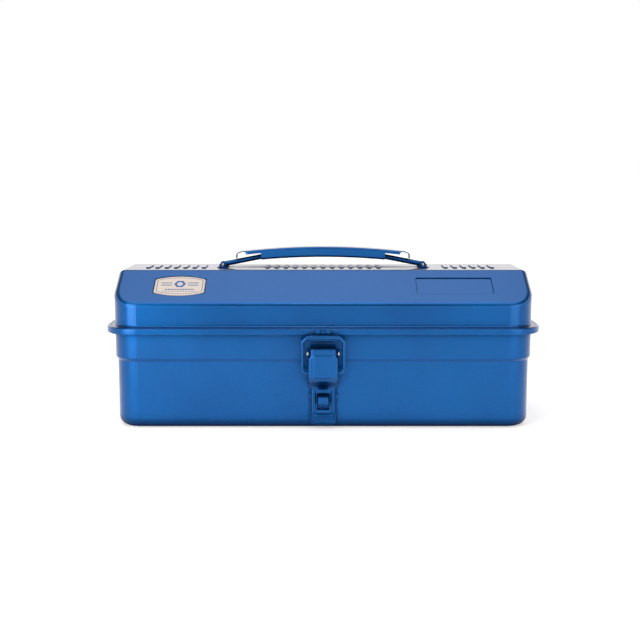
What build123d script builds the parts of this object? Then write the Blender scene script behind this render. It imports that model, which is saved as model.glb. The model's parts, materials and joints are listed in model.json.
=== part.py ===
"""Pressed-steel hand tool box: tray, hip lid, draw latch, rear hinges and folding grip.

Millimetres. X runs along the box, the latch faces -Y and Z is up. The origin is the centre
of the tray's footprint, on the surface that it stands on. The lid is modelled closed, the
latch lever down and the grip folded onto the lid.
"""

from build123d import *
from math import atan2, cos, sin, sqrt, tan
import os

os.makedirs("parts", exist_ok=True)

# --- Sheets and clearances ------------------------------------------------------------
sheet = 0.6  # pressed steel of the tray and the lid
fitting_sheet = 1.0  # steel of the latch, the strike and the hinges
grip_sheet = 0.8
seat_gap = 0.3  # lid flange above the tray flange
lip_gap = 0.4  # lid lip outside the tray's turned-down edge
pin_play = 0.05  # radial play of a pin in a turning bore
side_play = 0.4  # beside pieces that turn against each other

# --- Tray -----------------------------------------------------------------------------
box_length = 346.0  # over the upper walls
box_depth = 137.0
corner_radius = 21.0  # of the upper walls, in plan
rim_height = 83.6  # top of the tray's flange
step_drop = 26.4  # from the rim down to the step in the wall
step_width = 1.75
step_rise = 2.4
foot_radius = 8.0
flange_reach = 5.5  # from the wall to the turned-down edge
edge_drop = 4.7  # height of the turned-down edge
floor_margin = 16.0  # flat ring between the wall and the raised floor panel
floor_rise = 1.8
floor_bevel = 40.0  # slope of the raised panel's border, in degrees from upright

# --- Lid ------------------------------------------------------------------------------
knee_rise = 19.0  # upright part of the lid, above its flange
crown_rise = 24.0  # from the knee to the flat top
top_depth = 55.0
lip_height = 5.0
lip_radius = 1.5
lid_foot_radius = 3.0
ridge_radius = 3.0  # between the slopes and the flat top
rim_radius = 5.0  # round the edge of the slopes and the ends
recess_depth = 0.8
recess_fillet = 1.5

# --- Badge and name recess on the front slope, and raised ribs on the top --------------
badge_inset = 54.0  # badge centre, from the left end
badge_width = 41.5
badge_side = 18.0
badge_middle = 26.0
badge_margin = 0.8  # recess round the badge
badge_sheet = 0.4
badge_climb = 1.5  # badge centre above the middle of the slope
name_inset = 64.0  # recess centre, from the right end
name_width = 63.5
name_height = 22.5
name_climb = 1.5
rib_width = 3.2
rib_length = 24.0
rib_pitch = 8.0
rib_rise = 0.8
rib_groups = ((-127.0, 7), (0.0, 13), (126.0, 6))  # centre along X and number of ribs

# --- Rear hinges ----------------------------------------------------------------------
hinge_spacing = 190.0
hinge_width = 40.0
middle_knuckle = 13.6
hinge_axis_out = 9.4  # axis behind the wall
hinge_axis_drop = 3.8  # axis below the tray's rim
hinge_pin_radius = 1.2
leaf_height = 14.0

# --- Draw latch, from the lip's lower edge down ----------------------------------------
latch_pin_drop = 15.3
latch_pin_out = 7.6  # pin in front of the upper wall
latch_pin_radius = 1.3
latch_pin_stub = 2.1  # pin's end beside the lever's head
lever_front = 5.0  # lever's face in front of the pin
lever_head_width = 21.8
lever_head_rise = 4.6  # lever's top edge above the pin
shoulder_drop = 3.6  # where the lever widens, below the pin
lever_width = 25.0
lever_depth = 8.6
bend_drop = 20.2  # where the face bends inwards, below the pin
bend_height = 8.0
tongue_width = 18.8
tongue_length = 24.0  # below the bend
tongue_gap = 2.2  # tongue in front of the base plate
panel_width = 15.0
panel_height = 18.0
panel_rise = 0.8
slot_width = 10.3
slot_height = 14.0
slot_foot = 4.8  # from the tongue's end to the slot
staple_climb = 1.6  # staple above the middle of the slot
staple_width = 8.1
staple_height = 6.8
staple_reach = 9.6
base_width = 21.4
base_sheet = 1.2
base_foot = 8.6  # base plate below the tongue
base_head = 7.0  # base plate's top below the wall's step
ring_wire = 2.6
ring_width = 36.3
ring_pivot_drop = 15.4  # ring's pivot below the lever's pin
ring_pivot_in = 1.6  # ring's pivot in front of the lever's pin
ring_top_below_lip = 0.1
strike_gap = 0.45  # ring's bar in front of the strike's lip
strike_mouth = 2.8
strike_width = 23.0
strike_neck = 13.0
strike_drop = 3.9  # strike's floor below the lip's edge

# --- Folding grip ---------------------------------------------------------------------
grip_top = 145.5 - 127.5  # top of the grip above the lid
grip_arch = 600.0
grip_width = 17.0
skirt_height = 8.8
skirt_half = 54.0
plate_half = 69.0
plate_drop = 3.0
grip_mouth = 8.0
tab_half = 75.4
tab_width = 10.0
tab_clear = 0.7  # curled tab above the folded arm
arm_rod = 4.4
foot_half = 87.0  # foot pivots, from the middle
foot_clear = 0.3  # arm's round end above the lid
arm_length = 48.0  # between an arm's two pins
arm_rise = 9.2  # slide pin above the foot pivot, grip folded
foot_pin_radius = 1.0
slide_pin_radius = 1.3
bracket_sheet = 0.8
bracket_length = 9.0
bracket_ear_rest = 0.6  # foot pin's end beside the bracket's ear
bracket_rivet_gap = 1.9  # rivet's middle beyond the foot pin's end
bracket_margin = 2.6  # from a rivet's middle to the bracket's end

# --- Rivets ---------------------------------------------------------------------------
rivet_head = 2.2
rivet_shank = 1.2
rivet_rise = 1.0
rivet_tail = 0.5

# --- Heights and places worked out from the sizes above --------------------------------
front = -box_depth / 2
lid_foot = rim_height + seat_gap  # underside of the lid's flange
flange_top = lid_foot + sheet
lip_reach = flange_reach + lip_gap + sheet
lip_edge = flange_top - lip_height
knee = flange_top + knee_rise
lid_top = knee + crown_rise
step_top = rim_height - step_drop + step_rise / 2
step_foot = step_top - step_rise
slope_angle = atan2(crown_rise, (box_depth - top_depth) / 2)
slope_middle = (knee + lid_top) / 2
hinge_y = box_depth / 2 + hinge_axis_out
hinge_z = rim_height - hinge_axis_drop
pin_y = front - latch_pin_out
pin_z = lip_edge - latch_pin_drop
lever_y = pin_y - lever_front
ear_outside = lever_head_width / 2 - fitting_sheet - side_play
latch_pin_reach = lever_head_width / 2 + latch_pin_stub
bend_top = pin_z - bend_drop
tongue_top = bend_top - bend_height
tongue_foot = tongue_top - tongue_length
base_y = front + step_width  # wall behind the base plate
tongue_y = base_y - base_sheet - tongue_gap - fitting_sheet
slot_z = tongue_foot + slot_foot + slot_height / 2
staple_z = slot_z + staple_climb
ring_y = pin_y - ring_pivot_in
ring_z = pin_z - ring_pivot_drop
lip_y = front - lip_reach
strike_y = lip_y - fitting_sheet - strike_mouth - fitting_sheet
bar_y = strike_y - strike_gap - ring_wire / 2
bar_z = lip_edge - ring_top_below_lip - ring_wire / 2
grip_z = lid_top + grip_top
foot_height = arm_rod / 2 + foot_clear
foot_z = lid_top + foot_height
ear_gap = arm_rod + 2 * side_play
foot_pin_half = ear_gap / 2 + bracket_sheet + bracket_ear_rest
bracket_rivet_out = foot_pin_half + bracket_rivet_gap
bracket_width = 2 * (bracket_rivet_out + bracket_margin)
arm_tilt = atan2(arm_rise, sqrt(arm_length**2 - arm_rise**2))
slide_half = foot_half - arm_length * cos(arm_tilt)


def bent_sheet(points, radii, thickness):
    """Section of a sheet bent along a line, thickened to the left of the line."""
    with BuildSketch() as section:
        with BuildLine():
            FilletPolyline(*points, radius=radii)
            offset(amount=thickness, side=Side.LEFT)
        make_face()
    return section.sketch


def swept_round_box(section):
    """Carry a YZ section of the front wall round the whole box."""
    half_length = box_length / 2
    with BuildPart() as band:
        with BuildLine() as half_plan:
            FilletPolyline(
                (0, front), (half_length, front), (half_length, -front), (0, -front), radius=corner_radius
            )
        with BuildSketch(Plane.YZ):
            add(section)
        sweep(path=half_plan.wire())
        mirror(about=Plane.YZ)
    return band.part


def rivet(seat, stack, tail):
    """A closed rivet through a stack of sheets; seat is the outer face, looking outwards."""
    with BuildPart() as piece:
        with BuildSketch():
            Circle(rivet_shank)
        extrude(amount=-stack)
        with BuildSketch():
            Circle(rivet_head)
        extrude(amount=rivet_rise)
        fillet(piece.edges().group_by(Axis.Z)[-1], radius=0.8 * rivet_rise)
        if tail > 0:
            with BuildSketch(Plane.XY.offset(-stack - tail)):
                Circle(0.8 * rivet_head)
            extrude(amount=tail)
    return seat * piece.part


def rivet_seats(places, normal, across):
    """Planes of rivet seats at the given points, with their outward normal."""
    return [Plane(origin=place, x_dir=across, z_dir=normal) for place in places]


def rivet_row(seats, stack, tail=rivet_tail):
    """One group of like rivets."""
    with BuildPart() as row:
        for seat in seats:
            add(rivet(seat, stack, tail))
    return row


def shank_holes(seats, reach):
    """Cylinders that cut the rivets' shank holes."""
    with BuildPart() as drills:
        for seat in seats:
            with BuildSketch(seat):
                Circle(rivet_shank)
            extrude(amount=reach, both=True)
    return drills.part


# --- Where the rivets sit -------------------------------------------------------------
hinge_sides = (-1, 1)
hinge_rivet_step = hinge_width / 2 - 6.0
wall_back = box_depth / 2
leaf_rivet_z = hinge_z - hinge_axis_drop - leaf_height / 2 - 1.0
lid_rivet_z = flange_top + fitting_sheet + leaf_height / 2 + 1.0
body_leaf_places = [
    (side * hinge_spacing / 2 + end * hinge_rivet_step, wall_back + fitting_sheet, leaf_rivet_z)
    for side in hinge_sides
    for end in (-1, 1)
]
lid_leaf_places = [(x, y, lid_rivet_z) for x, y, z in body_leaf_places]
body_leaf_seats = rivet_seats(body_leaf_places, (0, 1, 0), (1, 0, 0))
lid_leaf_seats = rivet_seats(lid_leaf_places, (0, 1, 0), (1, 0, 0))
base_top = step_foot - base_head
base_bottom = tongue_foot - base_foot
base_rivet_heights = (base_top - 5.0, tongue_foot + 3.6)
base_places = [(0, base_y - base_sheet, height) for height in base_rivet_heights]
base_seats = rivet_seats(base_places, (0, -1, 0), (1, 0, 0))
strike_places = [(side * strike_neck * 0.32, lip_y - fitting_sheet, lip_edge + 2.3) for side in (-1, 1)]
strike_seats = rivet_seats(strike_places, (0, -1, 0), (1, 0, 0))
bracket_places = [
    (side * foot_half, end * bracket_rivet_out, lid_top + bracket_sheet)
    for side in (-1, 1)
    for end in (-1, 1)
]
bracket_seats = rivet_seats(bracket_places, (0, 0, 1), (1, 0, 0))


# --- Tray: one pressed sheet with stepped walls, a flange and a turned-down edge --------
lower_front = front + step_width
floor_start = lower_front + foot_radius + 2.0
floor_inset = floor_start - front
panel_inset = step_width + floor_margin
tray_wall = bent_sheet(
    [
        (front - flange_reach + sheet, rim_height - edge_drop),
        (front - flange_reach + sheet, rim_height - sheet),
        (front, rim_height - sheet),
        (front, step_top),
        (lower_front, step_foot),
        (lower_front, 0),
        (floor_start, 0),
    ],
    [0.6, 1.5, 1.4, 1.4, foot_radius],
    sheet,
)

with BuildPart() as body_tray:
    add(swept_round_box(tray_wall))
    with BuildSketch():
        RectangleRounded(box_length - 2 * floor_inset, box_depth - 2 * floor_inset, corner_radius - floor_inset)
    extrude(amount=sheet)
    with BuildSketch():
        RectangleRounded(box_length - 2 * panel_inset, box_depth - 2 * panel_inset, corner_radius)
    extrude(amount=floor_rise, taper=floor_bevel)
    with BuildSketch(Plane.XY.offset(-sheet)):
        RectangleRounded(box_length - 2 * panel_inset, box_depth - 2 * panel_inset, corner_radius)
    extrude(amount=floor_rise, taper=floor_bevel, mode=Mode.SUBTRACT)
    add(shank_holes(body_leaf_seats, 4 * fitting_sheet), mode=Mode.SUBTRACT)
    add(shank_holes(base_seats, 4 * base_sheet), mode=Mode.SUBTRACT)
body_tray.part.label = "body_tray"
export_step(body_tray.part, "parts/body_tray.step")


# --- Lid ------------------------------------------------------------------------------
lid_low = flange_top + 2 * lid_foot_radius  # where the swept foot meets the crown


def lid_crown(inset):
    """The lid's crown as a solid, drawn in all round by the inset."""
    half_depth = box_depth / 2 - inset
    slope_foot = knee - inset / cos(slope_angle) + inset * tan(slope_angle)
    crown_top = lid_top - inset
    half_top = half_depth - (crown_top - slope_foot) / tan(slope_angle)
    low = lid_low - inset
    with BuildPart() as crown:
        with BuildSketch(Plane.XY.offset(low)):
            RectangleRounded(box_length - 2 * inset, box_depth - 2 * inset, corner_radius - inset)
        extrude(amount=crown_top - low)
        with BuildSketch(Plane.YZ):
            with BuildLine():
                Polyline(
                    (-half_depth, low),
                    (-half_depth, slope_foot),
                    (-half_top, crown_top),
                    (half_top, crown_top),
                    (half_depth, slope_foot),
                    (half_depth, low),
                    close=True,
                )
            make_face()
        extrude(amount=box_length, both=True, mode=Mode.INTERSECT)
        fillet(crown.edges().filter_by(Axis.X).group_by(Axis.Z)[-1], radius=ridge_radius - inset)
        slopes_and_top = crown.faces().filter_by(lambda face: face.normal_at().Z > 0.3)
        walls = crown.faces().filter_by(lambda face: abs(face.normal_at().Z) < 0.01)
        brow = [edge for edge in slopes_and_top.edges() if edge in walls.edges()]
        fillet(brow, radius=rim_radius - inset)
    return crown.part


lid_rim = bent_sheet(
    [(front, lid_low), (front, flange_top), (lip_y, flange_top), (lip_y, lip_edge)],
    [lid_foot_radius, lip_radius],
    sheet,
)
slope_plane = Plane(
    origin=(0, -(box_depth + top_depth) / 4, slope_middle),
    x_dir=(1, 0, 0),
    z_dir=(0, -sin(slope_angle), cos(slope_angle)),
)


def badge_outline(margin):
    """A panel with upright ends and bowed long sides, drawn out by the margin."""
    half = badge_width / 2 + margin
    side = badge_side / 2 + margin
    middle = badge_middle / 2 + margin
    with BuildSketch() as outline:
        with BuildLine():
            Line((-half, -side), (-half, side))
            ThreePointArc((-half, side), (0, middle), (half, side))
            Line((half, side), (half, -side))
            ThreePointArc((half, -side), (0, -middle), (-half, -side))
        make_face()
        fillet(outline.vertices(), radius=recess_fillet)
    return outline.sketch


def name_outline(margin):
    """The plain name recess, drawn out by the margin."""
    with BuildSketch() as outline:
        RectangleRounded(name_width + 2 * margin, name_height + 2 * margin, recess_fillet + margin)
    return outline.sketch


badge_place = Location((badge_inset - box_length / 2, badge_climb))
name_place = Location((box_length / 2 - name_inset, name_climb))
rib_columns = [
    centre + (number - (count - 1) / 2) * rib_pitch
    for centre, count in rib_groups
    for number in range(count)
]

with BuildPart() as lid_shell:
    add(swept_round_box(lid_rim))
    add(lid_crown(0))
    add(lid_crown(sheet), mode=Mode.SUBTRACT)
    for outline, place in ((badge_outline, badge_place), (name_outline, name_place)):
        margin = badge_margin if outline is badge_outline else 0
        with BuildSketch(slope_plane.offset(-recess_depth - sheet)):
            add(place * outline(margin + sheet))
        extrude(amount=recess_depth + sheet)
        with BuildSketch(slope_plane.offset(-recess_depth)):
            add(place * outline(margin))
        extrude(amount=2 * recess_depth, mode=Mode.SUBTRACT)
    with BuildSketch(Plane.XY.offset(lid_top - sheet)):
        with Locations(*[(x, 0) for x in rib_columns]):
            SlotOverall(rib_length, rib_width, rotation=90)
    extrude(amount=sheet + rib_rise)
    with BuildSketch(Plane.XY.offset(lid_top - 2 * sheet)):
        with Locations(*[(x, 0) for x in rib_columns]):
            SlotOverall(rib_length - 2 * sheet, rib_width - 2 * sheet, rotation=90)
    extrude(amount=sheet + rib_rise, mode=Mode.SUBTRACT)
    add(shank_holes(lid_leaf_seats, 4 * fitting_sheet), mode=Mode.SUBTRACT)
    add(shank_holes(strike_seats, 2 * fitting_sheet), mode=Mode.SUBTRACT)
    add(shank_holes(bracket_seats, 4 * bracket_sheet), mode=Mode.SUBTRACT)
lid_shell.part.label = "lid_shell"
export_step(lid_shell.part, "parts/lid_shell.step")


# --- Badge: a thin plate lying in its recess ------------------------------------------
with BuildPart() as label_plate:
    with BuildSketch(slope_plane.offset(-recess_depth)):
        add(badge_place * badge_outline(0))
    extrude(amount=badge_sheet)
label_plate.part.label = "label_plate"
export_step(label_plate.part, "parts/label_plate.step")


# --- Rear hinges: leaves with rolled knuckles, and their pins --------------------------
knuckle_radius = hinge_pin_radius + pin_play + fitting_sheet
leaf_face = wall_back + fitting_sheet
body_leaf_section = bent_sheet(
    [
        (leaf_face, leaf_rivet_z - leaf_height / 2),
        (leaf_face, hinge_z - knuckle_radius),
        (hinge_y, hinge_z - knuckle_radius),
    ],
    [1.5],
    fitting_sheet,
)
lid_leaf_section = bent_sheet(
    [
        (hinge_y + knuckle_radius, hinge_z),
        (hinge_y + knuckle_radius, flange_top + fitting_sheet),
        (leaf_face, flange_top + fitting_sheet),
        (leaf_face, lid_rivet_z + leaf_height / 2),
    ],
    [2.0, lid_foot_radius - fitting_sheet],
    fitting_sheet,
)
outer_knuckle = (hinge_width - middle_knuckle) / 2 - side_play
pin_head = 0.8

for side, side_name in ((-1, "left"), (1, "right")):
    middle = side * hinge_spacing / 2
    knuckle_planes = [
        Plane.YZ.offset(middle + end * (middle_knuckle / 2 + side_play + outer_knuckle / 2)) for end in (-1, 1)
    ]

    with BuildPart() as body_leaf:
        with BuildSketch(Plane.YZ.offset(middle)):
            add(body_leaf_section)
        extrude(amount=hinge_width / 2, both=True)
        with BuildSketch(*knuckle_planes):
            with Locations((hinge_y, hinge_z)):
                Circle(knuckle_radius)
        extrude(amount=outer_knuckle / 2, both=True)
        with BuildSketch(Plane.YZ.offset(middle)):
            with Locations((hinge_y, hinge_z)):
                Circle(hinge_pin_radius)
        extrude(amount=hinge_width, both=True, mode=Mode.SUBTRACT)
        with BuildSketch(Plane.YZ.offset(middle)):
            with Locations((hinge_y, hinge_z)):
                Rectangle(2 * (knuckle_radius + side_play), 2 * (knuckle_radius + side_play))
        extrude(amount=middle_knuckle / 2 + side_play, both=True, mode=Mode.SUBTRACT)
        add(shank_holes(body_leaf_seats, 4 * fitting_sheet), mode=Mode.SUBTRACT)
    body_leaf.part.label = f"hinge_leaf_body_{side_name}"
    export_step(body_leaf.part, f"parts/hinge_leaf_body_{side_name}.step")

    with BuildPart() as lid_leaf:
        with BuildSketch(Plane.YZ.offset(middle)):
            add(lid_leaf_section)
        extrude(amount=hinge_width / 2, both=True)
        with BuildSketch(*knuckle_planes):
            with Locations((hinge_y, flange_top)):
                Rectangle(4 * knuckle_radius, 2 * (flange_top - hinge_z), align=(Align.CENTER, Align.MAX))
        extrude(amount=outer_knuckle / 2 + side_play, both=True, mode=Mode.SUBTRACT)
        with BuildSketch(Plane.YZ.offset(middle)):
            with Locations((hinge_y, hinge_z)):
                Circle(knuckle_radius)
        extrude(amount=middle_knuckle / 2, both=True)
        with BuildSketch(Plane.YZ.offset(middle)):
            with Locations((hinge_y, hinge_z)):
                Circle(hinge_pin_radius + pin_play)
        extrude(amount=hinge_width, both=True, mode=Mode.SUBTRACT)
        add(shank_holes(lid_leaf_seats, 4 * fitting_sheet), mode=Mode.SUBTRACT)
    lid_leaf.part.label = f"hinge_leaf_lid_{side_name}"
    export_step(lid_leaf.part, f"parts/hinge_leaf_lid_{side_name}.step")

    with BuildPart() as hinge_pin:
        with BuildSketch(Plane.YZ.offset(middle)):
            with Locations((hinge_y, hinge_z)):
                Circle(hinge_pin_radius)
        extrude(amount=hinge_width / 2, both=True)
        head_planes = (
            Plane.YZ.offset(middle + hinge_width / 2),
            Plane.YZ.offset(middle - hinge_width / 2 - pin_head),
        )
        with BuildSketch(*head_planes):
            with Locations((hinge_y, hinge_z)):
                Circle(knuckle_radius - 0.3)
        extrude(amount=pin_head)
        fillet(hinge_pin.edges().filter_by(GeomType.CIRCLE).group_by(Axis.X)[0], radius=0.4)
        fillet(hinge_pin.edges().filter_by(GeomType.CIRCLE).group_by(Axis.X)[-1], radius=0.4)
    hinge_pin.part.label = f"hinge_pin_{side_name}"
    export_step(hinge_pin.part, f"parts/hinge_pin_{side_name}.step")

hinge_body_rivets = rivet_row(body_leaf_seats, fitting_sheet + sheet)
hinge_body_rivets.part.label = "hinge_body_rivets"
export_step(hinge_body_rivets.part, "parts/hinge_body_rivets.step")

hinge_lid_rivets = rivet_row(lid_leaf_seats, fitting_sheet + sheet)
hinge_lid_rivets.part.label = "hinge_lid_rivets"
export_step(hinge_lid_rivets.part, "parts/hinge_lid_rivets.step")


# --- Latch base: plate on the tray, two ears for the lever's pin, and the padlock staple
ear_nose = 2.9
ear_back = 0.35
with BuildPart() as latch_base_plate:
    with BuildSketch(Plane.XZ.offset(-base_y)) as plate_face:
        with Locations((0, base_bottom)):
            Rectangle(base_width, base_top - base_bottom, align=(Align.CENTER, Align.MIN))
        fillet(plate_face.vertices().group_by(Axis.Y)[0], radius=3.5)
        fillet(plate_face.vertices().group_by(Axis.Y)[-1], radius=2.0)
        with Locations(*[(end * base_width / 2, slot_z + 3.5) for end in (-1, 1)]):
            Circle(1.8)
    extrude(amount=base_sheet)
    ear_planes = [Plane.YZ.offset(x) for x in (-ear_outside, ear_outside - base_sheet)]
    with BuildSketch(*ear_planes):
        with BuildLine():
            Polyline(
                (base_y - base_sheet / 2, tongue_top + 1.0),
                (base_y - base_sheet - 0.8, tongue_top + 1.0),
                (pin_y - ear_nose, bend_top + 3.0),
                (pin_y - ear_nose, pin_z),
                (pin_y + ear_nose, pin_z - 0.5),
                (front - ear_back, pin_z - 6.0),
                (front - ear_back, base_top + 3.0),
                (base_y - base_sheet / 2, base_top),
                close=True,
            )
        make_face()
        with Locations((pin_y, pin_z)):
            Circle(ear_nose)
    extrude(amount=base_sheet)
    with BuildSketch(Plane.YZ):
        with Locations((pin_y, pin_z)):
            Circle(latch_pin_radius)
    extrude(amount=base_width, both=True, mode=Mode.SUBTRACT)
    add(shank_holes(base_seats, 4 * base_sheet), mode=Mode.SUBTRACT)
latch_base_plate.part.label = "latch_base_plate"
export_step(latch_base_plate.part, "parts/latch_base_plate.step")

staple_foot = base_y - base_sheet
with BuildPart() as latch_staple:
    with BuildSketch(Plane.YZ):
        add(
            bent_sheet(
                [
                    (staple_foot, staple_z + staple_height / 2),
                    (staple_foot - staple_reach, staple_z + staple_height / 2),
                    (staple_foot - staple_reach, staple_z - staple_height / 2),
                    (staple_foot, staple_z - staple_height / 2),
                ],
                [1.6, 1.6],
                fitting_sheet,
            )
        )
    extrude(amount=staple_width / 2, both=True)
latch_staple.part.label = "latch_staple"
export_step(latch_staple.part, "parts/latch_staple.step")

latch_base_rivets = rivet_row(base_seats, base_sheet + sheet)
latch_base_rivets.part.label = "latch_base_rivets"
export_step(latch_base_rivets.part, "parts/latch_base_rivets.step")


# --- Latch lever: a channel with a raised panel, bent in to a slotted tongue ------------
lever_top = pin_z + lever_head_rise
shoulder_z = pin_z - shoulder_drop
flange_back = lever_y + lever_depth
tongue_curl = 3.0
lever_bend = 5.0


def lever_channel(width):
    """Plan section of the lever's channel at the given width."""
    return bent_sheet(
        [
            (-width / 2, flange_back),
            (-width / 2, lever_y),
            (width / 2, lever_y),
            (width / 2, flange_back),
        ],
        [1.6, 1.6],
        fitting_sheet,
    )


with BuildPart() as latch_lever:
    with BuildSketch(Plane.YZ):
        add(
            bent_sheet(
                [
                    (lever_y, lever_top),
                    (lever_y, bend_top),
                    (tongue_y, tongue_top),
                    (tongue_y, tongue_foot + tongue_curl),
                    (tongue_y - tongue_curl / 2, tongue_foot),
                ],
                [lever_bend, lever_bend, 4.0],
                fitting_sheet,
            )
        )
    extrude(amount=lever_width / 2, both=True)
    with BuildSketch(Plane.XZ) as lever_face:
        with BuildLine():
            Polyline(
                (-tongue_width / 2, tongue_foot - 1.0),
                (-tongue_width / 2, tongue_top),
                (-lever_width / 2, tongue_top + 1.6),
                (-lever_width / 2, shoulder_z),
                (-lever_head_width / 2, shoulder_z + 2.4),
                (-lever_head_width / 2, lever_top),
                (0, lever_top),
            )
            mirror(about=Plane.YZ)
            Line((-tongue_width / 2, tongue_foot - 1.0), (tongue_width / 2, tongue_foot - 1.0))
        make_face()
        fillet(lever_face.vertices().group_by(Axis.Y)[0], radius=3.0)
    extrude(amount=2 * box_depth, both=True, mode=Mode.INTERSECT)
    with BuildSketch(Plane.XY.offset(bend_top)):
        add(lever_channel(lever_width))
    extrude(amount=shoulder_z - bend_top)
    with BuildSketch(Plane.XY.offset(shoulder_z)):
        add(lever_channel(lever_head_width))
    extrude(amount=lever_top - shoulder_z)
    cheek_planes = [Plane.YZ.offset(x) for x in (-lever_width / 2, lever_width / 2 - fitting_sheet)]
    with BuildSketch(*cheek_planes):
        with BuildLine():
            Polyline(
                (lever_y + lever_bend / 2, bend_top + 1.0),
                (lever_y + lever_bend / 2, bend_top - 1.0),
                (tongue_y, tongue_top + 1.6),
                (flange_back, tongue_top + 4.0),
                (flange_back, bend_top + 1.0),
                close=True,
            )
        make_face()
    extrude(amount=fitting_sheet)
    with BuildSketch(Plane.XZ.offset(-lever_y)):
        with Locations((0, pin_z - shoulder_drop - panel_height / 2 + 2.4)):
            RectangleRounded(panel_width + 2 * panel_rise, panel_height + 2 * panel_rise, 1.4)
    extrude(amount=panel_rise, taper=40)
    with BuildSketch(Plane.XZ.offset(-tongue_y)):
        with Locations(*[(end * (slot_width + tongue_width) / 4, slot_z) for end in (-1, 1)]):
            RectangleRounded(2.2, slot_height + 5.0, 1.0)
    extrude(amount=0.7, taper=35)
    with BuildSketch(Plane.XZ.offset(-tongue_y)):
        with Locations((0, slot_z)):
            RectangleRounded(slot_width, slot_height, 1.2)
    extrude(amount=3 * fitting_sheet, both=True, mode=Mode.SUBTRACT)
    with BuildSketch(Plane.YZ):
        with Locations((pin_y, pin_z)):
            Circle(latch_pin_radius + pin_play)
        with Locations((ring_y, ring_z)):
            Circle(ring_wire / 2 + pin_play)
    extrude(amount=lever_width, both=True, mode=Mode.SUBTRACT)
latch_lever.part.label = "latch_lever"
export_step(latch_lever.part, "parts/latch_lever.step")

with BuildPart() as latch_lever_pin:
    with BuildSketch(Plane.YZ):
        with Locations((pin_y, pin_z)):
            Circle(latch_pin_radius)
    extrude(amount=latch_pin_reach, both=True)
    fillet(latch_lever_pin.edges().filter_by(GeomType.CIRCLE), radius=0.6)
latch_lever_pin.part.label = "latch_lever_pin"
export_step(latch_lever_pin.part, "parts/latch_lever_pin.step")


# --- Latch ring: one wire whose ends turn in to the lever's sides -----------------------
ring_half = (ring_width - ring_wire) / 2
ring_height = sqrt((bar_y - ring_y) ** 2 + (bar_z - ring_z) ** 2)
ring_corner = 3.6
ring_end = lever_width / 2 - fitting_sheet - 0.5
ring_lean = (0, bar_y - ring_y, bar_z - ring_z)
ring_plane = Plane(
    origin=(0, ring_y, ring_z), x_dir=(1, 0, 0), z_dir=(0, -ring_lean[2], ring_lean[1])
)
with BuildPart() as latch_ring:
    with BuildLine(ring_plane) as ring_path:
        FilletPolyline(
            (ring_end, 0),
            (ring_half, 0),
            (ring_half, ring_height - ring_corner),
            (ring_half - ring_corner, ring_height),
            (ring_corner - ring_half, ring_height),
            (-ring_half, ring_height - ring_corner),
            (-ring_half, 0),
            (-ring_end, 0),
            radius=[3.0, 1.6, 1.6, 1.6, 1.6, 3.0],
        )
    with BuildSketch(Plane(origin=(ring_end, ring_y, ring_z), z_dir=(1, 0, 0))):
        Circle(ring_wire / 2)
    sweep(path=ring_path.wire())
latch_ring.part.label = "latch_ring"
export_step(latch_ring.part, "parts/latch_ring.step")


# --- Strike: the hook that hangs from the lid's lip -------------------------------------
strike_floor = lip_edge - strike_drop
strike_tip = lip_edge + 0.5
strike_top = lip_edge + lip_height - lip_radius - 0.1
with BuildPart() as latch_hook:
    with BuildSketch(Plane.YZ):
        add(
            bent_sheet(
                [
                    (strike_y, strike_tip),
                    (strike_y, strike_floor - fitting_sheet),
                    (lip_y, strike_floor - fitting_sheet),
                    (lip_y, strike_top),
                ],
                [1.8, 1.8],
                fitting_sheet,
            )
        )
    extrude(amount=strike_width / 2, both=True)
    with BuildSketch(Plane.XZ):
        with Locations((0, strike_tip)):
            Rectangle(strike_width, 2 * strike_drop, align=(Align.CENTER, Align.MAX))
            Rectangle(strike_neck, 2 * lip_height, align=Align.CENTER)
    extrude(amount=2 * box_depth, both=True, mode=Mode.INTERSECT)
    add(shank_holes(strike_seats, 2 * fitting_sheet), mode=Mode.SUBTRACT)
latch_hook.part.label = "latch_hook"
export_step(latch_hook.part, "parts/latch_hook.step")

latch_hook_rivets = rivet_row(strike_seats, fitting_sheet + sheet, tail=0)
latch_hook_rivets.part.label = "latch_hook_rivets"
export_step(latch_hook_rivets.part, "parts/latch_hook_rivets.step")


# --- Grip: an arched channel, crowned plates past its ends and curled tabs --------------
def arch_height(x):
    """Height of the grip's top surface at x."""
    return grip_z - grip_arch + sqrt(grip_arch**2 - x**2)


def arch_path(half):
    """The grip's top line, from -half to half."""
    with BuildLine(Plane.XZ) as path:
        ThreePointArc((-half, arch_height(half)), (0, grip_z), (half, arch_height(half)))
    return path.line


def arch_start(path):
    """Plane across the start of an arch, with its local Y pointing up."""
    return Plane(origin=path @ 0, x_dir=(0, 1, 0), z_dir=path % 0)


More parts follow.
